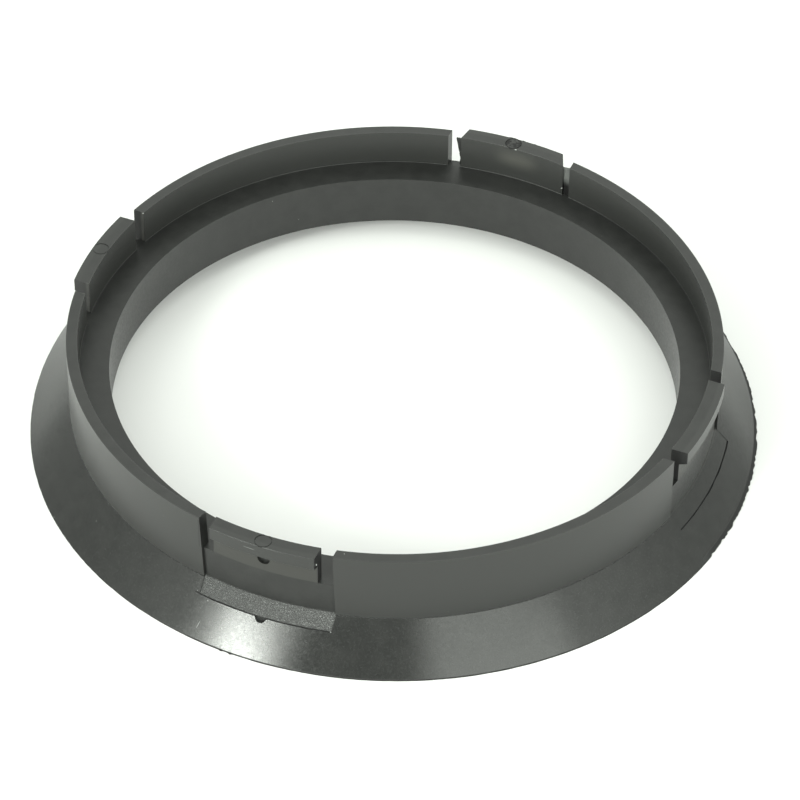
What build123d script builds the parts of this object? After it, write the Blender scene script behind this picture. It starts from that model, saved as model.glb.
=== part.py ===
from build123d import *
from math import radians, tan
import os

# Hub centric ring, one injection moulded piece.
# Millimetres, Z up, axis of the ring on Z, underside of the flange at Z = 0.

# Ring section
collar_diameter = 72.6
ring_wall = 4.6
flange_reach = 4.55
ring_height = 13.1
ledge_height = 8.8
collar_wall = 1.25
cone_angle = 45.0
flange_edge = 0.15
lead_in_height = 2.6
lead_in_angle = 38.0
ledge_fillet = 0.2
edge_break = 0.15

# Snap tabs cut out of the collar
snap_count = 4
first_snap_angle = -112.0
tab_width = 12.0
slot_width = 1.67
barb_height = 1.55
barb_reach = 0.6
barb_fall = 0.35

# Pad under each tab, left by the mould's sliding insert
pad_setback = 0.3
pad_reach = 1.2
pad_sink = 0.12

# Round marks left by the mould's pins
ejector_mark_diameter = 2.0
ejector_mark_depth = 0.08
pin_mark_diameter = 1.4
pin_mark_depth = 0.35
pin_mark_gap = 0.05

# Radii and heights that follow from the sizes above
collar_radius = collar_diameter / 2
bore_radius = collar_radius - ring_wall
flange_radius = collar_radius + flange_reach
rim_radius = collar_radius - collar_wall
cone_slope = tan(radians(cone_angle))
cone_top = flange_edge + flange_reach * cone_slope
lead_in_radius = bore_radius + lead_in_height / tan(radians(lead_in_angle))
pad_wall_radius = collar_radius - pad_setback
pad_radius = collar_radius + pad_reach
pad_width = tab_width + 2 * slot_width
barb_radius = collar_radius + barb_reach
barb_underside = ring_height - barb_height
barb_root = barb_underside - barb_fall
root_inner_radius = rim_radius - collar_wall
root_outer_radius = (rim_radius + pad_wall_radius) / 2
pin_mark_radius = pin_mark_diameter / 2
stem_mark_height = barb_root - pin_mark_gap - pin_mark_radius


def cone_height(radius):
    return flange_edge + (flange_radius - radius) * cone_slope


pin_mark_floor = cone_height(pad_radius) - pin_mark_depth

# One tab on the +X side: root in the ledge, thin stem, barb and pin marks
with BuildPart() as tab:
    with BuildSketch(Plane.XZ) as tab_section:
        with BuildLine():
            Polyline(
                (root_inner_radius, cone_top),
                (root_outer_radius, cone_top),
                (root_outer_radius, ledge_height),
                (pad_wall_radius, ledge_height),
                (pad_wall_radius, barb_root),
                (barb_radius, barb_underside),
                (barb_radius, ring_height),
                (rim_radius, ring_height),
                (rim_radius, ledge_height),
                (root_inner_radius, ledge_height),
                close=True,
            )
        make_face()
        corners = tab_section.vertices()
        fillet(corners.sort_by_distance((rim_radius, ledge_height))[0], radius=ledge_fillet)
        top = tab_section.vertices().group_by(Axis.Y)[-1]
        chamfer(top, length=edge_break)
    revolve(axis=Axis.Z)
    with BuildSketch(Plane.XY):
        Rectangle(flange_radius, tab_width, align=(Align.MIN, Align.CENTER))
    extrude(amount=ring_height, mode=Mode.INTERSECT)
    # Ejector pin mark across the top
    with BuildSketch(Plane.XY.offset(ring_height)):
        with Locations(((rim_radius + barb_radius) / 2, 0)):
            Circle(ejector_mark_diameter / 2)
    extrude(amount=-ejector_mark_depth, mode=Mode.SUBTRACT)
    # Round pin mark in the stem, right under the barb
    with BuildSketch(Plane.YZ.offset(pad_wall_radius - pin_mark_depth)):
        with Locations((0, stem_mark_height)):
            Circle(pin_mark_radius)
    extrude(amount=pin_mark_depth, mode=Mode.SUBTRACT)

# What one sliding insert takes away: the wall set back under the tab, the pad on the cone and its pin mark
with BuildPart() as insert:
    with BuildSketch(Plane.XZ):
        with BuildLine():
            Polyline(
                (pad_wall_radius, ledge_height),
                (pad_wall_radius, cone_height(pad_wall_radius) - pad_sink),
                (pad_radius, cone_height(pad_radius) - pad_sink),
                (pad_radius, ledge_height),
                close=True,
            )
        make_face()
    revolve(axis=Axis.Z)
    with BuildSketch(Plane.XY):
        Rectangle(flange_radius, pad_width, align=(Align.MIN, Align.CENTER))
    extrude(amount=ring_height, mode=Mode.INTERSECT)
    with BuildSketch(Plane.XY.offset(pin_mark_floor)):
        with Locations((pad_radius, 0)):
            Circle(pin_mark_radius)
            Rectangle(pin_mark_radius, pin_mark_diameter, align=(Align.MAX, Align.CENTER), mode=Mode.SUBTRACT)
    extrude(amount=ring_height - pin_mark_floor)

# The ring: turned section, gaps cut in the collar, inserts taken away, tabs put in the gaps
with BuildPart() as ring:
    with BuildSketch(Plane.XZ) as section:
        with BuildLine():
            Polyline(
                (lead_in_radius, 0),
                (flange_radius, 0),
                (flange_radius, flange_edge),
                (collar_radius, cone_top),
                (collar_radius, ring_height),
                (rim_radius, ring_height),
                (rim_radius, ledge_height),
                (bore_radius, ledge_height),
                (bore_radius, lead_in_height),
                close=True,
            )
        make_face()
        corners = section.vertices()
        fillet(corners.sort_by_distance((rim_radius, ledge_height))[0], radius=ledge_fillet)
        top = section.vertices().group_by(Axis.Y)[-1]
        chamfer(top, length=edge_break)
    revolve(axis=Axis.Z)
    with BuildSketch(Plane.XY.offset(ledge_height)):
        with PolarLocations(0, snap_count, start_angle=first_snap_angle):
            Rectangle(flange_radius, pad_width, align=(Align.MIN, Align.CENTER))
    extrude(amount=ring_height - ledge_height, mode=Mode.SUBTRACT)
    with PolarLocations(0, snap_count, start_angle=first_snap_angle):
        add(insert.part, mode=Mode.SUBTRACT)
        add(tab.part)

ring.part.label = "hub_ring"
os.makedirs("parts", exist_ok=True)
export_step(ring.part, "parts/hub_ring.step")
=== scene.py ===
import math
import bpy
import bmesh
from mathutils import Matrix, Vector, noise


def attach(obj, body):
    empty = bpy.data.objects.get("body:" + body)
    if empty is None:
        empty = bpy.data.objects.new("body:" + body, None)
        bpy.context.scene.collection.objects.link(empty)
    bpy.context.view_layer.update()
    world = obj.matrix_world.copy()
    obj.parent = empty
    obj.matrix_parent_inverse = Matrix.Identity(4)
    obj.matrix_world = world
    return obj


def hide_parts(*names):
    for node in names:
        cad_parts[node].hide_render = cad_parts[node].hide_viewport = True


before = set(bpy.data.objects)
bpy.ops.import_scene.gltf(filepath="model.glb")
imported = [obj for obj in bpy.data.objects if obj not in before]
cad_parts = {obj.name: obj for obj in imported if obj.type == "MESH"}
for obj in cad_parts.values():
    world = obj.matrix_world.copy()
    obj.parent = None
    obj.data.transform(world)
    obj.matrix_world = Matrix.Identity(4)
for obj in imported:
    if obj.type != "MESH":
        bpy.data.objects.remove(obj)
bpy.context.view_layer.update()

mm = 0.001
scene = bpy.context.scene


# One value in a shader: operators on it add Math nodes
class Wire:
    def __init__(self, paint, socket):
        self.paint = paint
        self.socket = socket

    def math(self, operation, first, second=0.0):
        return self.paint.node("ShaderNodeMath", {"operation": operation}, {0: first, 1: second})

    def __add__(self, other):
        return self.math("ADD", self, other)

    def __radd__(self, other):
        return self.math("ADD", other, self)

    def __sub__(self, other):
        return self.math("SUBTRACT", self, other)

    def __rsub__(self, other):
        return self.math("SUBTRACT", other, self)

    def __mul__(self, other):
        return self.math("MULTIPLY", self, other)

    def __rmul__(self, other):
        return self.math("MULTIPLY", other, self)

    def __pow__(self, other):
        return self.math("POWER", self, other)

    def __abs__(self):
        return self.math("ABSOLUTE", self)

    def atLeast(self, other):
        return self.math("MAXIMUM", self, other)

    def atMost(self, other):
        return self.math("MINIMUM", self, other)

    def turnFrom(self, other):
        return self.math("ARCTAN2", self, other)


# One node tree: node() takes a type, its settings, then socket values or wires, and gives one output
class Paint:
    def __init__(self, block, shader):
        block.use_nodes = True
        self.block = block
        self.tree = block.node_tree
        self.shader = self.tree.nodes[shader]

    def node(self, kind, settings=None, sockets=None, output=0):
        made = self.tree.nodes.new(kind)
        for name, value in (settings or {}).items():
            setattr(made, name, value)
        for name, value in (sockets or {}).items():
            self.feed(made.inputs[name], value)
        return Wire(self, made.outputs[output])

    def feed(self, socket, value):
        if isinstance(value, Wire):
            self.tree.links.new(value.socket, socket)
        else:
            socket.default_value = value

    def set(self, **sockets):
        for name, value in sockets.items():
            self.feed(self.shader.inputs[name.replace("_", " ")], value)

    def place(self, kind="Object"):
        return self.node("ShaderNodeTexCoord", output=kind)

    def parts(self, vector):
        split = self.node("ShaderNodeSeparateXYZ", {}, {"Vector": vector})
        return [Wire(self, socket) for socket in split.socket.node.outputs]

    def grain(self, size, detail, roughness):
        sockets = {"Vector": self.place(), "Scale": 1 / size, "Detail": detail, "Roughness": roughness}
        return self.node("ShaderNodeTexNoise", {}, sockets)

    def between(self, value, low, high, toLow=0.0, toHigh=1.0):
        sockets = {0: value, 1: low, 2: high, 3: toLow, 4: toHigh}
        return self.node("ShaderNodeMapRange", {"clamp": True, "interpolation_type": "SMOOTHSTEP"}, sockets)

    def tones(self, share, dark, light):
        dark, light = [tone if isinstance(tone, Wire) else (*tone, 1.0) for tone in (dark, light)]
        sockets = {"Factor": share, "A": dark, "B": light}
        mix = self.node("ShaderNodeMix", {"data_type": "RGBA"}).socket.node
        for socket in mix.inputs:
            if socket.enabled and socket.name in sockets:
                self.feed(socket, sockets[socket.name])
        return Wire(self, next(socket for socket in mix.outputs if socket.enabled))


# Sizes of the moulding in mm
ring = {
    "collar": 36.3, "bore": 31.7, "flange": 40.85, "rim": 35.05, "leadInFoot": 35.03,
    "height": 13.1, "ledge": 8.8, "flangeEdge": 0.15, "leadIn": 2.6,
    "ledgeFillet": 0.07, "topRound": 0.03, "boreRound": 0.02, "coneCrown": 0.035,
    "tabCount": 4, "tabAngle": -112.0, "tabHalf": 6.0, "slotHalf": 7.67,
    "barb": 36.9, "barbUnder": 11.55, "barbRoot": 11.2, "barbRound": 0.02,
    "padWall": 36.0, "padEdge": 37.5, "padSink": 0.12,
    "slotEdgeRound": 0.08, "slotEdgeSteps": 2, "slotEdgeAngle": 0.5, "slotEdgeClear": 0.05,
    "plainSteps": 160, "slotSteps": 10, "tabSteps": 80, "cornerSteps": 3, "weld": 1e-7, "sharpAngle": 10.0,
}
# Extra points along the section: inwards from the flange, as shares of a run, then at their own places in mm
runs = {
    "cone": (0.25, 0.7, 1.3, 2.1, 2.8), "underside": 0.7, "gap": (1.0, 0.6), "top": (0.65, 0.35),
    "wallFoot": 6.8, "stem": 10.0, "rim": (12.0, 10.5), "ledge": 33.2, "bore": 5.6,
}
# Flash at the mould's joints in mm: the groove along a pad, the flange's ragged edge and two burrs on it
flash = {
    "gapWidth": 0.15, "gapDeep": (0.2, 0.32), "gapGrain": 1.1, "gapSeed": 4.0, "gapSwing": 0.9,
    "gapRag": 0.05, "padRaise": (0.0, 0.06, 0.0, 0.0),
    "rag": 0.25, "ragRest": 0.03, "ragSide": (-32.0, 25.0), "ragLevel": 0.3, "edgeDrop": 0.1,
    "ragFine": {"grain": 0.45, "swing": 0.8, "seed": 1.0},
    "ragCoarse": {"grain": 1.8, "swing": 0.9, "seed": 2.0},
    "burrs": ((-116.2, 0.12), (-114.7, 0.14)), "burrWidth": 0.2,
}
# Slot walls that stand off their drawn place, by (tab, side), in mm
slotEnds = {
    (0, -1): {"top": 0.07, "perDown": 0.055, "perIn": 0.2}, (0, 1): {"top": 0.05, "perDown": -0.04},
    (2, 1): {"top": 0.19, "wearAndRagShade": 0.3}, (2, -1): {"lip": 0.8},
}
endSpan = {"wall": 1.0, "tab": 1.2, "foot": 4.0}


def coneHeight(radius):
    share = (radius - ring["collar"]) / (ring["flange"] - ring["collar"])
    crown = 4 * ring["coneCrown"] * share * (1 - share) if 0 < share < 1 else 0.0
    return ring["flangeEdge"] + ring["flange"] - radius + crown


def corner(radius, height, size, start, turn):
    steps = ring["cornerSteps"]
    angles = [math.radians(start + turn * k / steps) for k in range(steps + 1)]
    return [(radius + size * math.cos(a), height + size * math.sin(a)) for a in angles]


# The collar or a tab, up its outside, over the top and down to the ledge
def uprightOf(tab):
    wall = ring["padWall"] if tab else ring["collar"]
    outer = ring["barb"] if tab else ring["collar"]
    under = outer - ring["barbRound"] if tab else outer
    top, topRound, fillet = ring["height"], ring["topRound"], ring["ledgeFillet"]
    points = [(wall, ring["ledge"]), (wall, runs["stem"]), (wall, ring["barbRoot"])]
    points.append((under, ring["barbUnder"] - ring["barbRound"] / 2))
    points.append((outer, ring["barbUnder"] + ring["barbRound"]))
    points += corner(outer - topRound, top - topRound, topRound, 0, 90)
    points += [(ring["rim"] + (outer - ring["rim"]) * share, top) for share in runs["top"]]
    points += corner(ring["rim"] + topRound, top - topRound, topRound, 90, 90)
    points += [(ring["rim"], height) for height in runs["rim"]]
    points += corner(ring["rim"] - fillet, ring["ledge"] + fillet, fillet, 0, -90)
    return points


def slotFloor(count):
    outer, inner = ring["padWall"], ring["rim"] - ring["ledgeFillet"]
    return [(outer + (inner - outer) * k / (count - 1), ring["ledge"]) for k in range(count)]


# One turned section: every kind has the same runs and the same number of points
def sectionOf(kind):
    plain = kind == "plain"
    sink = 0.0 if plain else ring["padSink"]
    wall = ring["collar"] if plain else ring["padWall"]
    cone = [ring["flange"] - away for away in runs["cone"]]
    gap = [ring["padEdge"] + flash["gapWidth"] * share for share in runs["gap"]]
    points = [(ring["leadInFoot"], 0.0), (ring["flange"] - runs["underside"], 0.0)]
    points += [(ring["flange"], 0.0), (ring["flange"], ring["flangeEdge"])]
    points += [(radius, coneHeight(radius)) for radius in cone + gap]
    points += [(radius, coneHeight(radius) - sink) for radius in (ring["padEdge"], ring["barb"])]
    points += [(wall, coneHeight(ring["collar"]) + ring["collar"] - wall - sink), (wall, runs["wallFoot"])]
    upright = uprightOf(kind == "tab")
    points += slotFloor(len(upright)) if kind == "slot" else upright
    points.append((runs["ledge"], ring["ledge"]))
    boreRound = ring["boreRound"]
    points += corner(ring["bore"] + boreRound, ring["ledge"] - boreRound, boreRound, 90, 90)
    points += [(ring["bore"], runs["bore"]), (ring["bore"], ring["leadIn"])]
    return points


sections = {kind: sectionOf(kind) for kind in ("plain", "slot", "tab")}
# Points of a section that flash moves
moved = {"flangeFoot": 2, "flangeTop": 3, "gapEdge": 9, "gapFloor": 10, "pad": (11, 12, 13)}
print("section points", {kind: len(points) for kind, points in sections.items()})

tabEdge = math.asin(ring["tabHalf"] / ring["collar"])
slotEdge = math.asin(ring["slotHalf"] / ring["collar"])
quarter = math.tau / ring["tabCount"]


# Columns round the ring: (tab, angle from that tab's middle, kind), doubled where a slot's wall stands
def columnsOf():
    spans = [
        (-tabEdge, tabEdge, ring["tabSteps"], "tab"),
        (tabEdge, slotEdge, ring["slotSteps"], "slot"),
        (slotEdge, quarter - slotEdge, ring["plainSteps"], "plain"),
        (quarter - slotEdge, quarter - tabEdge, ring["slotSteps"], "slot"),
    ]
    columns = []
    for tab in range(ring["tabCount"]):
        for start, end, steps, kind in spans:
            columns += [(tab, start + (end - start) * k / steps, kind) for k in range(steps + 1)]
    return columns


# How much nearer to the tab's middle a point by a slot stands
def endShift(tab, side, reach, radius, height):
    end = slotEnds.get((tab % ring["tabCount"], side), {})
    down = ring["height"] - max(height, endSpan["foot"])
    inwards = ring["collar"] - min(max(radius, ring["rim"]), ring["collar"])
    wall = end.get("top", 0.0) + end.get("perDown", 0.0) * down + end.get("perIn", 0.0) * inwards
    outer = min(max((radius - ring["rim"]) / (ring["barb"] - ring["rim"]), 0.0), 1.0)
    wearAndRagShade = end.get("wearAndRagShade", 0.0) * outer - end.get("lip", 0.0) * (1 - outer)
    nearWall = max(0.0, 1 - abs(reach - ring["slotHalf"]) / endSpan["wall"])
    nearTab = max(0.0, 1 - abs(reach - ring["tabHalf"]) / endSpan["tab"])
    return wall * nearWall + wearAndRagShade * nearTab


# Slots have parallel sides: a point's polar angle depends on its radius, and evens out between two tabs
def turned(tab, angle, radius, height):
    if angle > quarter / 2:
        tab, angle = tab + 1, angle - quarter
    reach = ring["collar"] * math.sin(min(abs(angle), slotEdge))
    reach -= endShift(tab, 1 if angle > 0 else -1, reach, radius, height)
    away = math.asin(reach / radius)
    if abs(angle) > slotEdge:
        share = (quarter / 2 - abs(angle)) / (quarter / 2 - slotEdge)
        away = abs(angle) + (away - slotEdge) * share
    return math.radians(ring["tabAngle"]) + tab * quarter + math.copysign(away, angle)


def ragged(spot, grain, seed):
    return noise.noise(Vector((math.cos(spot), math.sin(spot), seed)) * (ring["flange"] / grain))


# How far the flange's edge stands out at a polar angle: less where it is ragged, more at a burr
def flangeRag(spot):
    degrees = (math.degrees(spot) + 180) % 360 - 180
    low, high = flash["ragSide"]
    depth = flash["rag"] if low < degrees < high else flash["ragRest"]
    share = flash["ragLevel"]
    for wave in (flash["ragFine"], flash["ragCoarse"]):
        share += wave["swing"] * ragged(spot, wave["grain"], wave["seed"])
    away = -min(max(depth * share, 0.0), depth)
    for middle, size in flash["burrs"]:
        near = abs(degrees - middle) / math.degrees(flash["burrWidth"] / ring["flange"])
        away += size * max(0.0, 1 - near * near)
    return away


# How far the flash moves a point: (outwards, upwards)
def flashMove(point, kind, spot):
    if point in (moved["flangeFoot"], moved["flangeTop"]):
        away = flangeRag(spot)
        lift = max(-away, -flash["edgeDrop"]) if point == moved["flangeTop"] else 0.0
        return away, lift
    if kind == "plain":
        return 0.0, 0.0
    wave = 0.5 + flash["gapSwing"] * ragged(spot, flash["gapGrain"], flash["gapSeed"])
    wave = min(max(wave, 0.0), 1.0)
    if point == moved["gapEdge"]:
        away = flash["gapRag"] * (wave - 0.5)
        return away, -away
    if point == moved["gapFloor"]:
        low, high = flash["gapDeep"]
        return 0.0, -(low + (high - low) * wave)
    tab = round((spot - math.radians(ring["tabAngle"])) / quarter) % ring["tabCount"]
    return 0.0, flash["padRaise"][tab] if point in moved["pad"] else 0.0


def ringMesh():
    columns = columnsOf()
    bm = bmesh.new()
    pointTag = bm.verts.layers.int.new("point")
    chain = []
    for k, (radius, height) in enumerate(sections["plain"]):
        vert = bm.verts.new((radius * mm, 0, height * mm))
        vert[pointTag] = k
        chain.append(vert)
    for a, b in zip(chain, chain[1:] + chain[:1]):
        bm.edges.new((a, b))
    bmesh.ops.spin(bm, geom=bm.verts[:] + bm.edges[:], cent=(0, 0, 0), axis=(0, 0, 1), angle=math.tau,
                   steps=len(columns), use_merge=True)
    # Each column of the spun ring goes to its own place and kind of section
    stepTag = bm.verts.layers.int.new("step")
    wallTag = bm.faces.layers.int.new("wall")
    for vert in bm.verts:
        step = round(math.atan2(vert.co.y, vert.co.x) / math.tau * len(columns)) % len(columns)
        tab, angle, kind = columns[step]
        radius, height = sections[kind][vert[pointTag]]
        spot = turned(tab, angle, radius, height)
        away, lift = flashMove(vert[pointTag], kind, spot)
        radius, height = radius + away, height + lift
        vert.co = Vector((radius * math.cos(spot), radius * math.sin(spot), height)) * mm
        vert[stepTag] = step
    for face in bm.faces:
        steps = sorted({vert[stepTag] for vert in face.verts})
        kinds = {columns[step][2] for step in steps}
        face[wallTag] = steps[0] + steps[-1] + 1 if len(kinds) == 2 else 0
    bmesh.ops.remove_doubles(bm, verts=bm.verts[:], dist=ring["weld"])
    # Each slot wall becomes one flat face, whose upper edges are rounded
    walls = {}
    for face in bm.faces:
        if face[wallTag]:
            walls.setdefault(face[wallTag], []).append(face)
    for faces in walls.values():
        bmesh.ops.dissolve_faces(bm, faces=faces, use_verts=False)
    bmesh.ops.recalc_face_normals(bm, faces=bm.faces[:])
    low = (ring["ledge"] + ring["slotEdgeClear"]) * mm
    edges = [edge for face in bm.faces if face[wallTag] for edge in face.edges
             if all(vert.co.z > low for vert in edge.verts)
             and edge.calc_face_angle_signed(0) > ring["slotEdgeAngle"]]
    bmesh.ops.bevel(bm, geom=edges, offset=ring["slotEdgeRound"] * mm, offset_type="OFFSET",
                    segments=ring["slotEdgeSteps"], profile=0.5, affect="EDGES", material=-1,
                    clamp_overlap=True)
    print("slot walls", len(walls), "rounded edges", len(edges))
    return bm


# Where a tab's own frame lies: out along its middle, across it, up
def tabFrame(tab):
    return Matrix.Rotation(math.radians(ring["tabAngle"]) + tab * quarter, 4, "Z")


# Round marks of the mould's pins in mm, where a value for each tab is a tuple
marks = {
    "ejector": {"diameter": 1.9, "radius": 35.975, "depth": 0.02, "groove": 0.1,
                "deep": (0.06, 0.0, 0.13, 0.035), "length": 1.0, "clear": 0.5},
    "stem": {"diameter": 1.4, "height": 10.45, "depth": 0.35, "clear": 0.2},
    "pad": {"diameter": 1.5, "radius": 37.32, "across": (0.3, 0, 0, 0),
            "deep": (0.55, 0.08, 0.35, 0.35), "top": 6.0},
    "segments": 40, "cutNear": 1e-8,
}


# The groove round an ejector mark
def ringCutter(bm, mark, deep, frameOfTab):
    middle = Vector((mark["radius"], 0, ring["height"])) * mm
    outer = mark["diameter"] / 2
    inner = outer - mark["groove"]
    corners = ((inner, -deep), (outer, -deep), (outer, mark["clear"]), (inner, mark["clear"]))
    verts = [bm.verts.new(middle + Vector((radius, 0, height)) * mm) for radius, height in corners]
    edges = [bm.edges.new(pair) for pair in zip(verts, verts[1:] + verts[:1])]
    before = set(bm.verts) - set(verts)
    bmesh.ops.spin(bm, geom=verts + edges, cent=middle, axis=(0, 0, 1), angle=math.tau,
                   steps=marks["segments"], use_merge=True)
    bmesh.ops.transform(bm, matrix=frameOfTab, verts=[vert for vert in bm.verts if vert not in before])


# The pins that left the round marks, as one cutter
def pinMesh():
    bm = bmesh.new()

    def pin(diameter, length, place):
        made = bmesh.ops.create_cone(bm, cap_ends=True, segments=marks["segments"], depth=length * mm,
                                     radius1=diameter / 2 * mm, radius2=diameter / 2 * mm, matrix=place)
        return made["verts"]

    for tab in range(ring["tabCount"]):
        frameOfTab = tabFrame(tab)
        mark = marks["ejector"]
        if mark["deep"][tab]:
            middle = Vector((mark["radius"], 0, ring["height"] - mark["depth"] + mark["length"] / 2)) * mm
            pin(mark["diameter"] - mark["groove"], mark["length"], frameOfTab @ Matrix.Translation(middle))
            ringCutter(bm, mark, mark["deep"][tab], frameOfTab)
        mark = marks["stem"]
        length = mark["depth"] + mark["clear"]
        middle = Vector((ring["padWall"] - mark["depth"] + length / 2, 0, mark["height"])) * mm
        outwards = Matrix.Rotation(math.pi / 2, 4, "Y")
        pin(mark["diameter"], length, frameOfTab @ Matrix.Translation(middle) @ outwards)
        # Only the half of the pad's pin that stands outside the pad cuts
        mark = marks["pad"]
        low = coneHeight(ring["padEdge"]) - mark["deep"][tab]
        middle = Vector((mark["radius"], mark["across"][tab], (low + mark["top"]) / 2)) * mm
        verts = pin(mark["diameter"], mark["top"] - low, frameOfTab @ Matrix.Translation(middle))
        geom = list({part for vert in verts for part in (vert, *vert.link_edges, *vert.link_faces)})
        half = bmesh.ops.bisect_plane(bm, geom=geom, dist=marks["cutNear"], clear_inner=True,
                                      plane_co=frameOfTab @ Vector((ring["padEdge"] * mm, 0, 0)),
                                      plane_no=frameOfTab.to_3x3() @ Vector((1, 0, 0)))
        rim = [part for part in half["geom_cut"] if isinstance(part, bmesh.types.BMEdge)]
        bmesh.ops.holes_fill(bm, edges=rim)
    bmesh.ops.recalc_face_normals(bm, faces=bm.faces[:])
    return bm


def placed(name, bm):
    mesh = bpy.data.meshes.new(name)
    for face in bm.faces:
        face.smooth = True
    bm.to_mesh(mesh)
    bm.free()
    piece = bpy.data.objects.new(name, mesh)
    scene.collection.objects.link(piece)
    return piece


hubRing = placed("hubRing", ringMesh())
pins = placed("pins", pinMesh())
cut = hubRing.modifiers.new("pinMarks", "BOOLEAN")
cut.operation = "DIFFERENCE"
cut.solver = "EXACT"
cut.object = pins
finished = bpy.data.meshes.new_from_object(hubRing.evaluated_get(bpy.context.evaluated_depsgraph_get()))
hubRing.modifiers.clear()
hubRing.data = finished
bpy.data.objects.remove(pins)
for face in finished.polygons:
    face.use_smooth = True
finished.set_sharp_from_angle(angle=math.radians(ring["sharpAngle"]))
print("ring faces", len(finished.polygons), "verts", len(finished.vertices))


# Flash at the back tab in mm: a thin web across one slot and a fin on the other end, tapered to its foot
slotFlash = {
    "tab": 2, "segments": (14, 26), "rough": (3.0, 4.0), "roughDepth": 0.05, "sharpAngle": 40.0,
    "web": {"across": (-7.75, -6.4), "height": (8.75, 12.75), "radius": 35.3, "thickness": 0.12,
            "wave": -0.25, "edgeGrain": 4.0, "edgeSpot": (0.3, 7.0), "edgeShare": 0.4},
    "fin": {"across": (5.85, 6.6), "height": (9.0, 12.85), "radius": 35.2, "thickness": 0.2,
            "wave": 0.08, "footShare": 0.22, "taper": 1.4},
}


def flashMesh(size):
    bm = bmesh.new()
    columns, rows = slotFlash["segments"]
    bmesh.ops.create_grid(bm, x_segments=columns, y_segments=rows, size=0.5)
    for vert in bm.verts:
        across, up = vert.co.x + 0.5, vert.co.y + 0.5
        low, high = size["across"]
        foot, head = size["height"]
        rough = noise.noise(Vector((across * slotFlash["rough"][0], up * slotFlash["rough"][1], foot)))
        if "taper" in size:
            share = size["footShare"] + (1 - size["footShare"]) * up ** size["taper"]
            high = low + (high - low) * share + size["wave"] * rough * across
        else:
            edge = noise.noise(Vector((across * size["edgeGrain"], *size["edgeSpot"])))
            head += size["wave"] * (across - 0.5 + size["edgeShare"] * edge)
        reach, radius = low + (high - low) * across, size["radius"] + slotFlash["roughDepth"] * rough
        vert.co = Vector((math.sqrt(radius ** 2 - reach ** 2), reach, foot + (head - foot) * up)) * mm
    bmesh.ops.recalc_face_normals(bm, faces=bm.faces[:])
    bmesh.ops.solidify(bm, geom=bm.faces[:], thickness=size["thickness"] * mm)
    bmesh.ops.transform(bm, matrix=tabFrame(slotFlash["tab"]), verts=bm.verts[:])
    bmesh.ops.recalc_face_normals(bm, faces=bm.faces[:])
    return bm


webFlash = placed("webFlash", flashMesh(slotFlash["web"]))
finFlash = placed("finFlash", flashMesh(slotFlash["fin"]))
for piece in (webFlash, finFlash):
    piece.data.set_sharp_from_angle(angle=math.radians(slotFlash["sharpAngle"]))

# Nibs of flash, a streak and burrs in mm: tab, the two ends as (radius, across, height), thickness. The nibs
# are painted pale as glints, besides one pale scratch; the streak is a painted glint
nibs = {
    "padLeft": (0, (37.5, -7.2, 3.52), (37.5, -7.06, 3.52), 0.045),
    "padLeftFin": (0, (37.75, -7.47, 3.25), (37.4, -7.42, 3.62), 0.022),
    "padRight": (0, (37.58, 7.93, 3.42), (37.6, 8.0, 3.4), 0.07),
    "padTop": (0, (37.76, -2.55, 3.26), (37.75, -2.45, 3.27), 0.055),
    "padSpeck": (0, (37.81, -6.0, 3.21), (37.8, -5.95, 3.22), 0.045),
    "barbEnd": (0, (36.43, 6.02, 11.9), (36.45, 6.02, 11.86), 0.08),
    "webFoot": (2, (35.03, -6.7, 9.72), (35.03, -6.76, 9.78), 0.06),
    "markEdge": (2, (35.06, -0.55, 13.05), (35.06, -0.72, 13.05), 0.05),
    "collarCorner": (3, (35.12, -7.6, 13.03), (35.14, -7.64, 13.02), 0.07),
    "scratch": (0, (40.1, -6.38, 0.92), (39.45, -6.16, 1.57), 0.025),
}
# a small raised streak on the front barb, in the thin flash's lighter tone as a painted glint
glintStreaks = {
    "barbStreak": (0, (36.86, -2.2, 12.45), (36.86, -0.3, 12.36), 0.07),
}
burrs = {
    "ridge": (2, (36.96, 0.9, 12.98), (36.99, -0.15, 12.97), 0.11),
    "middle": (2, (36.95, -0.75, 13.0), (36.94, -1.1, 13.0), 0.09),
    "right": (2, (36.94, -2.2, 13.0), (36.93, -2.45, 13.0), 0.08),
}


def nibMesh(group):
    bm = bmesh.new()
    for tab, *ends, thick in group.values():
        start, end = [Vector((math.sqrt(radius ** 2 - across ** 2), across, height))
                      for radius, across, height in ends]
        run = end - start
        turn = run.to_track_quat("Y", "Z").to_matrix().to_4x4()
        place = tabFrame(tab) @ Matrix.Translation((start + end) / 2 * mm) @ turn
        stretch = Matrix.Diagonal((thick, run.length / 2 + thick, thick, 1))
        bmesh.ops.create_icosphere(bm, subdivisions=2, radius=mm, matrix=place @ stretch)
    bmesh.ops.recalc_face_normals(bm, faces=bm.faces[:])
    return bm


flashNibs = placed("flashNibs", nibMesh(nibs))
barbGlintStreak = placed("barbGlintStreak", nibMesh(glintStreaks))
edgeBurrs = placed("edgeBurrs", nibMesh(burrs))
flashPieces = (webFlash, finFlash, flashNibs, barbGlintStreak, edgeBurrs)
print("flash faces", [len(piece.data.polygons) for piece in flashPieces])
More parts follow.
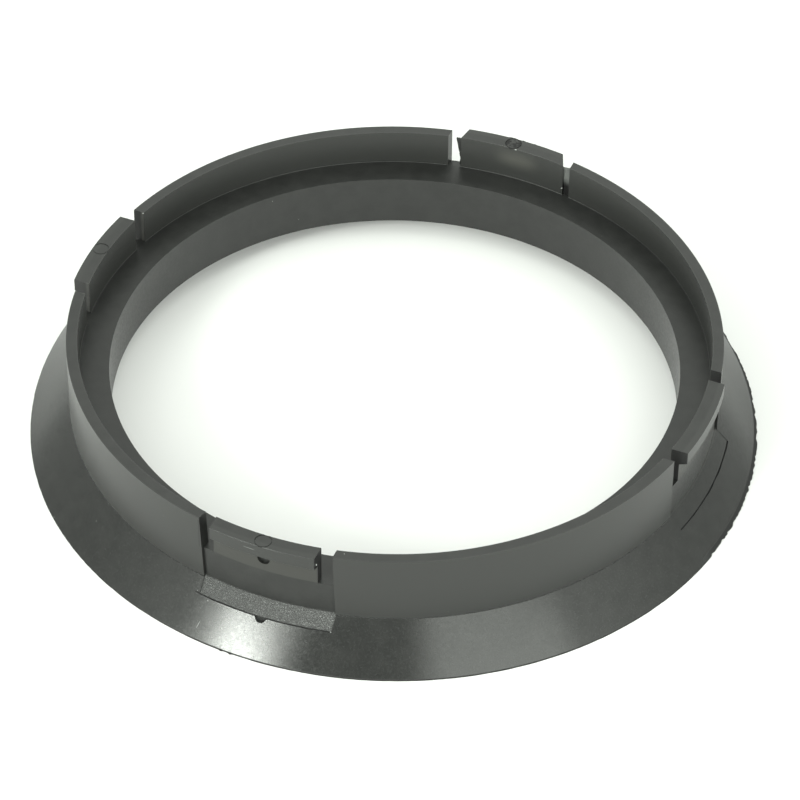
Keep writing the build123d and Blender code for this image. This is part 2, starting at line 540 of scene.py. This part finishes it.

# Black plastic: polished cone, duller walls, rough slot ends, a spark-eroded pad with painted glitter on the
# lit front one, a little dust; other painted light and shade is marked where the masks are made
plasticLook = {
    "dark": (0.0082, 0.0086, 0.008), "light": (0.0126, 0.013, 0.0122), "speckle": (0.0175, 0.0185, 0.018),
    # collar, inner and stem: lighter than the plastic's own tone, painted light, and on the stems a painted
    # reflection
    "collar": (0.016, 0.0165, 0.0155), "inner": (0.0185, 0.0191, 0.0179), "stem": (0.022, 0.022, 0.0195),
    # edge: near-black painted shade on the flange's lip, its ragged part, the pad groove and a thin flash's
    # foot; it also tints the real smudge by the ejector mark
    "lighterInnerPatch": (0.043, 0.043, 0.038), "edge": (0.006, 0.006, 0.006), "pad": (0.023, 0.0237, 0.023),
    # slot: darker than the wall tones around it, painted shade on the slot ends
    "fleck": (0.15, 0.155, 0.15), "slot": (0.0096, 0.0096, 0.0096), "paintedSlotSheen": (0.034, 0.034, 0.0315),
    "paintedFootShade": (-2.0, -1.0), "dust": (0.3, 0.31, 0.29), "dustCell": 1.6, "dustSize": (0.036, 0.0216),
    "dustPick": (0.7, 0.85),
    "coneGloss": (0.08, 0.19), "wallGloss": (0.3, 0.38), "padGloss": (0.12, 0.4), "collarGloss": 0.3,
    "innerGloss": 0.42, "ledgeGloss": 0.41, "topGloss": 0.26, "slotGloss": 0.45, "edgeGloss": 0.9,
    "ior": 1.5, "fineDepth": 0.005, "padDepth": 0.11,
}
# Noise in the plastic: size in mm, and the span of it that makes spots
grains = {
    "mottle": {"size": 1.8, "detail": 4.0, "roughness": 0.6, "span": (0.3, 0.7)},
    "speckle": {"size": 0.22, "detail": 3.0, "roughness": 0.7, "span": (0.48, 0.72)},
    "fleck": {"size": 0.104, "detail": 2.0, "roughness": 0.6, "span": (0.54, 0.7)},
    "smudge": {"size": 0.5, "detail": 2.0, "roughness": 0.5, "span": (0.35, 0.6)},
    "patch": {"size": 0.35, "detail": 3.0, "roughness": 0.6, "span": (0.3, 0.7)},
    "spark": {"size": 0.13, "detail": 2.0, "roughness": 0.7, "span": (0.35, 0.65)},
    "fine": {"size": 0.09, "detail": 2.0, "roughness": 0.6},
}
# Where the finishes lie, in mm: (from, to) of a soft edge, or the two ends of a band and how soft they are
zones = {
    "oneTab": (20.0, 25.0), "soft": 0.04,
    "coneOut": (36.15, 36.3), "coneDown": (4.95, 4.8), "outerOut": (36.15, 36.25), "outerUp": (4.8, 4.95),
    "innerIn": (35.2, 35.1), "innerUp": (8.9, 9.0), "ledgeIn": (35.1, 35.06), "ledge": (8.7, 8.9),
    "top": (13.0, 13.06),
    "slotOut": (35.08, 35.14), "slotUp": (8.85, 8.95), "tabEnd": (5.93, 6.07), "slotEnd": (7.6, 7.74),
    "stemAcross": (-1.0, 5.95), "stemOut": (35.9, 36.12), "stemUp": (8.85, 11.3),
    "padAcross": (-7.1, 8.0), "grooveAcross": (-1.0, 7.7), "grooveUp": (1.0, 1.5), "grooveSoft": 0.02,
    "lighterPatchAcross": (-1.2, 2.8, 1.4), "lighterPatchUp": (10.7, 12.4, 0.9),
    "raggedSide": (33.0, 35.0), "raggedOut": (40.36, 40.5), "edgeOut": (40.78, 40.84),
    "slotSheenOut": (35.0, 35.45, 0.12), "smudgeOut": (1.15, 0.75),
}


def plasticPaint(name, look):
    paint = Paint(bpy.data.materials.new(name), "Principled BSDF")
    place = paint.place()
    turn = {"Vector": place, "Rotation": (0, 0, -math.radians(ring["tabAngle"]))}
    u, v, z = [part * (1 / mm) for part in paint.parts(paint.node("ShaderNodeMapping", {}, turn))]
    sideways = paint.parts(place)[0] * (1 / mm)
    along = abs(u).atMost(abs(v))
    radius = (u * u + v * v) ** 0.5

    def past(value, zone):
        return paint.between(value, *zones[zone])

    def band(value, low, high, soft=zones["soft"]):
        return paint.between(value, low - soft, low + soft) * paint.between(value, high + soft, high - soft)

    def rough(name):
        grain = grains[name]
        return paint.grain(grain["size"] * mm, grain["detail"], grain["roughness"])

    def spots(name):
        return paint.between(rough(name), *grains[name]["span"])

    def spread(name, share):
        low, high = look[name]
        return low + (high - low) * share

    frontTab, backTab, leftTab = past(u, "oneTab"), past(0 - u, "oneTab"), past(0 - v, "oneTab")
    cone = past(radius, "coneOut") * past(z, "coneDown")
    sparkle = band(v, *zones["padAcross"]) * band(radius, ring["padWall"], ring["padEdge"])
    sparkle = sparkle * past(z, "coneDown") * frontTab  # only the lit front tab's pad: its lighter tone and bright flecks are painted glitter
    # outer collar wall and inner wall: lighter tones as painted light on those walls
    outer = past(radius, "outerOut") * past(z, "outerUp")
    inner = past(radius, "innerIn") * past(z, "innerUp")
    ledge = band(z, *zones["ledge"]) * past(radius, "ledgeIn")
    top = past(z, "top")
    # slot ends: a darker tone as painted shade between tab and collar; their higher roughness is the real
    # cut finish
    slot = band(along, *zones["tabEnd"]) + band(along, *zones["slotEnd"])
    slot = (slot * past(z, "slotUp") * past(radius, "slotOut")).atMost(1.0)
    # tabs' outer stem faces: a lighter tone as a painted reflection of the floor and the cone below
    stem = band(along, *zones["stemAcross"]) * band(radius, *zones["stemOut"]) * band(z, *zones["stemUp"])
    # a lighter patch high on the back tab's inner face
    lighterInnerPatch = backTab * inner * band(v, *zones["lighterPatchAcross"]) * band(z, *zones["lighterPatchUp"])
    # pad groove: painted shade, darkened as a shadowed crevice
    groove = band(radius, ring["padEdge"], ring["padEdge"] + flash["gapWidth"], zones["grooveSoft"])
    groove = groove * band(along, *zones["grooveAcross"]) * past(z, "grooveUp")
    # flange lip and its ragged right part: painted shade, a dark outline along the edge
    wearAndRagShade = past(sideways, "raggedSide") * past(radius, "raggedOut")
    edge = past(radius, "edgeOut").atLeast(wearAndRagShade).atLeast(groove)
    # left tab's slot ends: a lighter band near their inner edge, a painted reflection
    paintedSlotSheen = slot * leftTab * band(radius, *zones["slotSheenOut"])
    offMark = radius - marks["ejector"]["radius"]
    smudge = past((offMark * offMark + along * along) ** 0.5, "smudgeOut") * top * backTab * spots("smudge")
    # painted shade: black below a height, which darkens a thin flash's foot
    paintedFootShade = paint.between(z, *look["paintedFootShade"], 1.0, 0.0)

    colour = paint.tones(spots("mottle"), look["dark"], look["light"])
    # in these tints the pad and fleck tones are painted glitter on the lit front pad
    tints = ((cone * spots("speckle"), "speckle"), (outer, "collar"), (inner, "inner"), (stem, "stem"),
             (lighterInnerPatch, "lighterInnerPatch"), (edge, "edge"), (sparkle, "pad"), (sparkle * spots("fleck"), "fleck"),
             (slot, "slot"), (paintedSlotSheen, "paintedSlotSheen"), (smudge, "edge"), (paintedFootShade, "edge"))
    for mask, tone in tints:
        colour = paint.tones(mask, colour, look[tone])
    cells = {"Vector": place, "Scale": 1 / (look["dustCell"] * mm)}
    near = paint.node("ShaderNodeTexVoronoi", {"feature": "F1"}, cells, "Distance")
    pick = paint.parts(paint.node("ShaderNodeTexVoronoi", {"feature": "F1"}, cells, "Color"))[0]
    dust = paint.between(near, *look["dustSize"]) * paint.between(pick, *look["dustPick"])
    paint.set(Base_Color=paint.tones(dust, colour, look["dust"]))

    patch, spark = spots("patch"), rough("spark")
    gloss = spread("wallGloss", patch)
    finishes = ((cone, spread("coneGloss", patch)), (ledge, look["ledgeGloss"]),
                (outer, look["collarGloss"]), (inner, look["innerGloss"]), (slot, look["slotGloss"]),
                (top, look["topGloss"]), (edge.atLeast(smudge), look["edgeGloss"]),
                (sparkle, spread("padGloss", paint.between(spark, *grains["spark"]["span"]))))
    for mask, value in finishes:
        gloss = gloss + mask * (value - gloss)
    paint.set(Roughness=gloss, IOR=look["ior"])
    height = rough("fine") * (look["fineDepth"] * (1 - sparkle)) + spark * (look["padDepth"] * sparkle)
    paint.set(Normal=paint.node("ShaderNodeBump", {}, {"Height": height, "Strength": 1.0, "Distance": mm}))
    return paint.block


# Thin flash is painted lighter for the light it lets through and darkens to black towards its foot as
# painted shade; small nibs are pale, painted as glints
thinLook = {
    **plasticLook, "dark": (0.064, 0.066, 0.064), "light": (0.104, 0.108, 0.104),
    "collar": (0.085, 0.088, 0.085), "slot": (0.048, 0.05, 0.048), "inner": (0.068, 0.07, 0.067),
    "paintedFootShade": (10.0, 11.3),
}
glintAndScratchLook = {
    **plasticLook, "dark": (0.2, 0.205, 0.2), "light": (0.35, 0.36, 0.35), "collar": (0.3, 0.31, 0.3),
    "slot": (0.35, 0.36, 0.35), "inner": (0.35, 0.36, 0.35),
}
black = plasticPaint("mouldedPlastic", plasticLook)
thin = plasticPaint("thinFlash", thinLook)
pale = plasticPaint("glintAndScratchNibs", glintAndScratchLook)
finishOf = ((hubRing, black), (webFlash, thin), (finFlash, black), (flashNibs, pale), (barbGlintStreak, thin),
            (edgeBurrs, black))
for piece, material in finishOf:
    piece.data.materials.clear()
    piece.data.materials.append(material)
    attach(piece, "root")
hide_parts("hub_ring")
print("materials", black.name, thin.name, pale.name)

# Floor: plain pale paper, its size in m
floorLook = {"size": 3.0, "tone": 0.71, "roughness": 0.9}
bm = bmesh.new()
bmesh.ops.create_grid(bm, x_segments=1, y_segments=1, size=floorLook["size"])
paleFloor = placed("paleFloor", bm)
paper = Paint(bpy.data.materials.new("whitePaper"), "Principled BSDF")
paper.set(Base_Color=(*[floorLook["tone"]] * 3, 1), Roughness=floorLook["roughness"])
paleFloor.data.materials.append(paper.block)

# A soft room by direction, its gap in degrees: brighter overhead and low in front, dim behind the camera
room = {
    "horizon": 0.76, "middle": 1.11, "above": 1.3, "top": 1.45, "rises": (0.0, 0.64, 0.72, 0.86),
    "front": 0.5, "frontFrom": (0.2, -0.4), "frontUp": (0.1, 0.5),
    "frontLow": 2.9, "lowFrom": (-0.2, -0.7), "lowDown": (0.6, 0.45),
    "right": 0.13, "rightFrom": (0.0, 0.8), "back": 0.08, "backFrom": (0.1, 0.7),
    "strip": 0.45, "stripAt": 0.02, "stripFrom": (0.11, 0.02), "stripBack": (0.3, 0.5),
    "gap": (-33.5, 10.5), "gapSoft": (1.0, 2.5), "gapTone": 0.5, "tint": (0.955, 1.0, 0.935),
}
sky = Paint(bpy.data.worlds.new("softRoom"), "Background")
scene.world = sky.block
x, y, z = sky.parts(sky.place("Generated"))
azimuth = x.turnFrom(0 - y)
low, high, softLow, softHigh = [math.radians(value) for value in (*room["gap"], *room["gapSoft"])]
gap = sky.between(azimuth, low - softLow, low + softLow)
gap = gap * sky.between(azimuth, high + softHigh, high - softHigh)
levels = [room[name] for name in ("horizon", "middle", "above", "top")]
tone = sky.between(z, *room["rises"][:2], *levels[:2])
for k in (1, 2):
    tone = tone + sky.between(z, *room["rises"][k:k + 2], 0.0, levels[k + 1] - levels[k])
tone = tone + sky.between(y, *room["frontFrom"], 0.0, room["front"]) * sky.between(z, *room["frontUp"])
sides = sky.between(x, *room["rightFrom"], 0.0, room["right"])
sides = sides + sky.between(y, *room["backFrom"], 0.0, room["back"])
strip = sky.between(abs(x - room["stripAt"]), *room["stripFrom"], 0.0, room["strip"])
sides = sides + strip * sky.between(y, *room["stripBack"])
lowLight = sky.between(y, *room["lowFrom"], 0.0, room["frontLow"]) * sky.between(z, *room["lowDown"])
tone = tone * (1 + sides) + lowLight
tone = tone + gap * (tone * room["gapTone"] - tone)
tinted = {k: tone * part for k, part in enumerate(room["tint"])}
sky.set(Color=sky.node("ShaderNodeCombineColor", {}, tinted))

# Soft boxes: angles in degrees, distance and size in m
lamps = {
    "leftWindow": {"azimuth": -44.5, "rise": 33.0, "roll": 0.0, "distance": 1.2,
                   "size": (0.252, 0.21), "glow": 32.0},
    "leftWall": {"azimuth": -45.7, "rise": 30.5, "roll": 0.0, "distance": 1.3,
                 "size": (0.52, 0.972), "glow": 4.1},
    "rightWall": {"azimuth": 29.0, "rise": 27.0, "roll": -15.0, "distance": 1.2,
                  "size": (0.757, 0.78), "glow": 2.6},
}
for name, lamp in lamps.items():
    light = bpy.data.lights.new(name, "AREA")
    light.shape = "RECTANGLE"
    light.size, light.size_y = lamp["size"]
    light.color = room["tint"]
    light.energy = lamp["glow"] * math.pi * light.size * light.size_y  # watts for the face's brightness
    holder = bpy.data.objects.new(name, light)
    side, rise = math.radians(lamp["azimuth"]), math.radians(lamp["rise"])
    towards = Vector((math.sin(side) * math.cos(rise), -math.cos(side) * math.cos(rise), math.sin(rise)))
    holder.location = towards * lamp["distance"]
    roll = Matrix.Rotation(math.radians(lamp["roll"]), 3, "Z")
    holder.rotation_euler = (towards.to_track_quat("Z", "Y").to_matrix() @ roll).to_euler()
    scene.collection.objects.link(holder)
print("lamps", ", ".join(lamps))

# Camera at the photograph's angle: spot and lens in mm, angles in degrees
view = {
    "spot": (0.632, -339.741, 312.492), "elevation": 42.3457, "roll": 0.72199,
    "lens": 184.45, "sensor": 36.0, "clip": 10.0,
}
camera = bpy.data.objects.new("camera", bpy.data.cameras.new("camera"))
camera.data.lens = view["lens"]
camera.data.sensor_width = view["sensor"]
camera.data.clip_start = view["clip"] * mm
rise, tilt = math.radians(view["elevation"]), math.radians(view["roll"])
up = Vector((0, math.sin(rise), math.cos(rise)))
right = Vector((1, 0, 0))
back = Vector((0, -math.cos(rise), math.sin(rise)))
axes = (math.cos(tilt) * right + math.sin(tilt) * up, math.cos(tilt) * up - math.sin(tilt) * right, back)
camera.matrix_world = Matrix.Translation(Vector(view["spot"]) * mm) @ Matrix(axes).transposed().to_4x4()
scene.collection.objects.link(camera)
scene.camera = camera
scene.view_settings.view_transform = "Standard"
